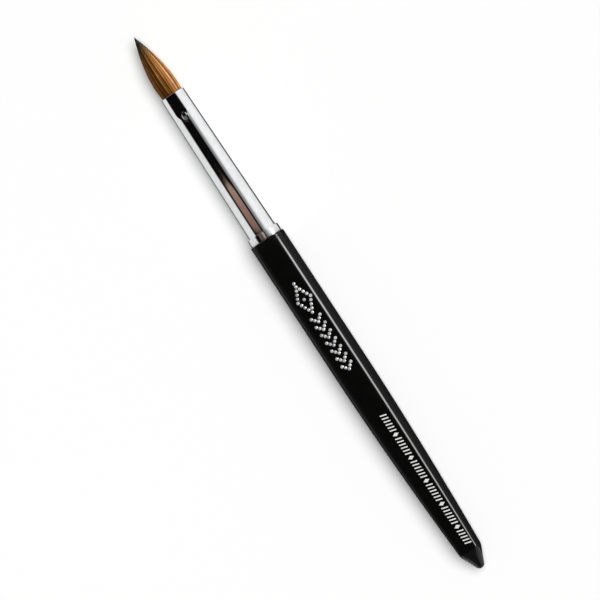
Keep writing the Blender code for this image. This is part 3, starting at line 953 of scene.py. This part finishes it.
# cards: (x, lowest angle, highest angle, (r, g, b)) at each column, each column in one tone
WARM_CARD = [
    (-0.1330, -6, -2, (0.16, 0.13, 0.09)), (-0.1300, -20, 9, (0.30, 0.23, 0.16)),
    (-0.1265, -32, 16, (0.36, 0.24, 0.18)), (-0.1130, -35, 18, (0.30, 0.17, 0.145)),
    (-0.1000, -35, 18, (0.26, 0.15, 0.125)), (-0.0935, -35, 18, (0.20, 0.14, 0.12)),
]
EDGE_TONE = (0.02, 0.02, 0.02)
EDGE_CARD = [(-0.205, 160, 168, EDGE_TONE), (-0.170, 149, 168, EDGE_TONE), (FLAG_X, 147, 168, EDGE_TONE)]
COLLAR_DARK_CARD = [(-0.0555, -22, 4, (0.16, 0.125, 0.085)), (FLAG_X, -22, 4, (0.15, 0.12, 0.08))]
COLLAR_PALE_CARD = [(-0.0555, 3, 21, (0.50, 0.45, 0.38)), (FLAG_X, 3, 21, (0.46, 0.42, 0.35))]


def level(stops, angle):
    """The value at an angle, in straight lines between the stops."""
    return float(np.interp(math.degrees(angle), [a for a, _ in stops], [v for _, v in stops]))


def glowing_material(name, strength):
    """(material, its node tree, its emission) of a thing that only glows and isn't sampled as a lamp."""
    mat = bpy.data.materials.new(name)
    mat.use_nodes = True
    tree = mat.node_tree
    tree.nodes.clear()
    light = add_node(tree, "ShaderNodeEmission", {"Color": (1, 1, 1, 1), "Strength": strength})
    output = add_node(tree, "ShaderNodeOutputMaterial")
    tree.links.new(light.outputs["Emission"], output.inputs["Surface"])
    mat.cycles.emission_sampling = "NONE"
    return mat, tree, light


def stage_for(ray, obj):
    """Let rays of one kind see an object, and no others."""
    for kind in ("camera", "diffuse", "glossy", "transmission", "volume_scatter", "shadow"):
        setattr(obj, "visible_" + kind, kind == ray)


def tent_mesh(name, columns, mat):
    """A curved panel about the brush's axis. columns are lists of (x, radius, angle, (r, g, b))."""
    points = [point for column in columns for point in column]
    count = len(columns[0])
    faces = [(c * count + i, c * count + i + 1, (c + 1) * count + i + 1, (c + 1) * count + i)
             for c in range(len(columns) - 1) for i in range(count - 1)]
    mesh = bpy.data.meshes.new(name)
    mesh.from_pydata([around(x, radius, angle) for x, radius, angle, _ in points], [], faces)
    mesh.materials.append(mat)
    glow = mesh.attributes.new("glow", "FLOAT_COLOR", "POINT")
    colours = [[part / TENT_TOP for part in colour] + [1] for _, _, _, colour in points]
    glow.data.foreach_set("color", np.array(colours, np.float32).ravel())
    stage_for("glossy", link_object(name, mesh))


def tent_strips(name, columns, stops, mat):
    """White strips along X. columns are (x, share of full light)."""
    edges = {math.radians(degrees) for degrees, _ in stops}
    angles = sorted(edges | set(spread(-math.pi, math.pi, TENT_STEPS)))
    lit = [[(x, TENT_RADIUS, a, (level(stops, a) * share,) * 3) for a in angles] for x, share in columns]
    tent_mesh(name, lit, mat)


def tent_card(name, card, mat):
    """A card just inside the strips, with soft edges."""
    columns = []
    for x, low, high, colour in card:
        column = []
        for share in spread(0, 1, CARD_STEPS):
            light = min(share, 1 - share, CARD_EDGE) / CARD_EDGE
            angle = math.radians(low + (high - low) * share)
            column.append((x, CARD_RADIUS, angle, tuple(part * light for part in colour)))
        columns.append(column)
    tent_mesh(name, columns, mat)


def make_tent():
    """What the plating and the lacquer mirror: soft boxes, black flags and a few toned cards."""
    mat, tree, light = glowing_material("tent_glow", TENT_TOP)
    glow = add_node(tree, "ShaderNodeAttribute", attribute_name="glow")
    tree.links.new(glow.outputs["Color"], light.inputs["Color"])
    tent_strips("tent_by_ferrule", [(-FAR_STARTS[-1], 1), (FLAG_X, 1)], FERRULE_STOPS, mat)
    tent_strips("tent_by_handle", HANDLE_COLUMNS, HANDLE_STOPS, mat)
    for side, name in ((-1, "tent_beyond_hair"), (1, "tent_beyond_handle")):
        tent_strips(name, [(side * FAR_STARTS[side], 1), (side * TENT_HALF_LENGTH, 1)], FAR_STOPS, mat)
        x = side * TENT_HALF_LENGTH
        ring = [(x, TENT_RADIUS, math.radians(a), FAR_END) for a in range(-180, 181, TENT_END_STEP)]
        middle = [(x, 0, 0, FAR_END)] * len(ring)
        tent_mesh(name + "_end", [ring, middle], mat)
    tent_card("tent_warm_card", WARM_CARD, mat)
    tent_card("tent_edge_card", EDGE_CARD, mat)
    tent_card("tent_collar_dark_card", COLLAR_DARK_CARD, mat)
    tent_card("tent_collar_pale_card", COLLAR_PALE_CARD, mat)


def make_floor():
    mat, tree, shader = new_material("pale_floor")
    tones = [(0.3, (0.900, 0.900, 0.898)), (0.7, (0.905, 0.905, 0.903))]
    tone = ramp(tree, noise(tree, in_millimetres(tree), 0.004, 2.0), tones)
    tree.links.new(tone, shader.inputs["Base Color"])
    shader.inputs["Roughness"].default_value = 1.0
    shader.inputs["Specular IOR Level"].default_value = 0.0
    half = FLOOR_SIZE / 2
    corners = [(-half, -half, 0), (half, -half, 0), (half, half, 0), (-half, half, 0)]
    floor = link_mesh("floor", corners, [(0, 1, 2, 3)], [mat], smooth=False)
    floor.visible_glossy = False


def make_backdrop():
    """A white wall round the floor, which only the camera sees."""
    mat, _, _ = glowing_material("white_backdrop", BACKDROP_LIGHT)
    angles = [2 * math.pi * i / BACKDROP_SIDES for i in range(BACKDROP_SIDES)]
    vertices = [(BACKDROP_RADIUS * math.cos(a), BACKDROP_RADIUS * math.sin(a), z)
                for z in (BACKDROP_FOOT, BACKDROP_RADIUS) for a in angles]
    stage_for("camera", link_mesh("backdrop", vertices, loft_faces(2, BACKDROP_SIDES), [mat]))


def add_lamp(data, lean, x=0.0):
    """A lamp round the brush, leaning from the vertical towards +Y by an angle in degrees."""
    lamp = link_object(data.name, data)
    lamp.location = Vector(around(x, LAMP_DISTANCE, math.radians(lean)))
    return lamp


def area_light(name, lean, size, energy, x):
    """A round soft light, aimed at the middle of the brush."""
    data = bpy.data.lights.new(name, "AREA")
    data.shape = "DISK"
    data.size = size
    data.energy = energy
    lamp = add_lamp(data, lean, x)
    lamp.rotation_euler = (-lamp.location).to_track_quat("-Z", "Y").to_euler()
    return lamp


def key_light(lean, width, strength):
    """A soft light from very far away, so that the whole floor is evenly lit. Angles in degrees."""
    data = bpy.data.lights.new("soft_key", "SUN")
    data.angle = math.radians(width)
    data.energy = strength
    lamp = add_lamp(data, lean)
    lamp.rotation_euler = (math.radians(-lean), 0, 0)
    lamp.visible_glossy = False
    return lamp


def link_light(lamp, name, objects, state):
    """The lamp lights these objects alone (INCLUDE), or all but these (EXCLUDE)."""
    receivers = bpy.data.collections.new(name)
    for obj in objects:
        receivers.objects.link(obj)
    for entry in receivers.collection_objects:
        entry.light_linking.link_state = state
    lamp.light_linking.receiver_collection = receivers


def make_lights(hair_pieces):
    """Faint white surroundings and a soft sun. The hair has its own lights, the stronger from the side."""
    world = bpy.data.worlds.new("soft_white")
    world.use_nodes = True
    surroundings = world.node_tree.nodes["Background"]
    surroundings.inputs["Color"].default_value = (1, 1, 1, 1)
    surroundings.inputs["Strength"].default_value = SURROUNDINGS_LIGHT
    bpy.context.scene.world = world
    key = key_light(lean=23, width=44, strength=3.36)
    link_light(key, "all_but_hair", hair_pieces, "EXCLUDE")
    top = area_light("hair_top_light", lean=0, size=0.9, energy=10.0, x=-0.3)
    top.visible_glossy = False
    link_light(top, "hair_under_top_light", hair_pieces, "INCLUDE")
    side = area_light("hair_side_light", lean=94, size=0.5, energy=106.0, x=-0.2)
    link_light(side, "hair_under_side_light", hair_pieces, "INCLUDE")
    # this light's middle is lower than the floor, so nothing but the hair may block it
    side.light_linking.blocker_collection = side.light_linking.receiver_collection


def make_camera():
    """Looks down on the brush, leaning towards +Y, turned so that the hair is at the upper left."""
    back = Vector((0, math.sin(CAMERA_LEAN), math.cos(CAMERA_LEAN)))
    side = Vector((0, math.cos(CAMERA_LEAN), -math.sin(CAMERA_LEAN)))
    along = Vector((1, 0, 0))
    right = along * math.cos(CAMERA_TURN) + side * math.sin(CAMERA_TURN)
    up = side * math.cos(CAMERA_TURN) - along * math.sin(CAMERA_TURN)
    place = Matrix((right, up, back)).transposed().to_4x4()
    place.translation = CAMERA_TARGET + back * CAMERA_DISTANCE
    data = bpy.data.cameras.new("camera")
    data.sensor_width = CAMERA_SENSOR
    data.lens = CAMERA_LENS
    data.clip_start = CAMERA_NEAR
    camera = link_object("camera", data)
    camera.matrix_world = place
    bpy.context.scene.camera = camera
    bpy.context.scene.view_settings.view_transform = "Standard"


# --- the whole --------------------------------------------------------------------------------------


def reassign(node, mat):
    for material_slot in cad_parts[node].material_slots:
        material_slot.material = mat


make_camera()
make_tent()
make_floor()
make_backdrop()
plating = plating_material()
resin = resin_material()
make_handle(lacquer_material(), wood_material())
make_ferrule(plating)
make_collar(plating)
hair_pieces = make_hair(hair_material())
make_crystals(crystal_material())
make_print(print_material())
reassign("binding_thread", thread_material())
reassign("hair_cement", resin)
reassign("tenon_glue", resin)
make_lights(hair_pieces)
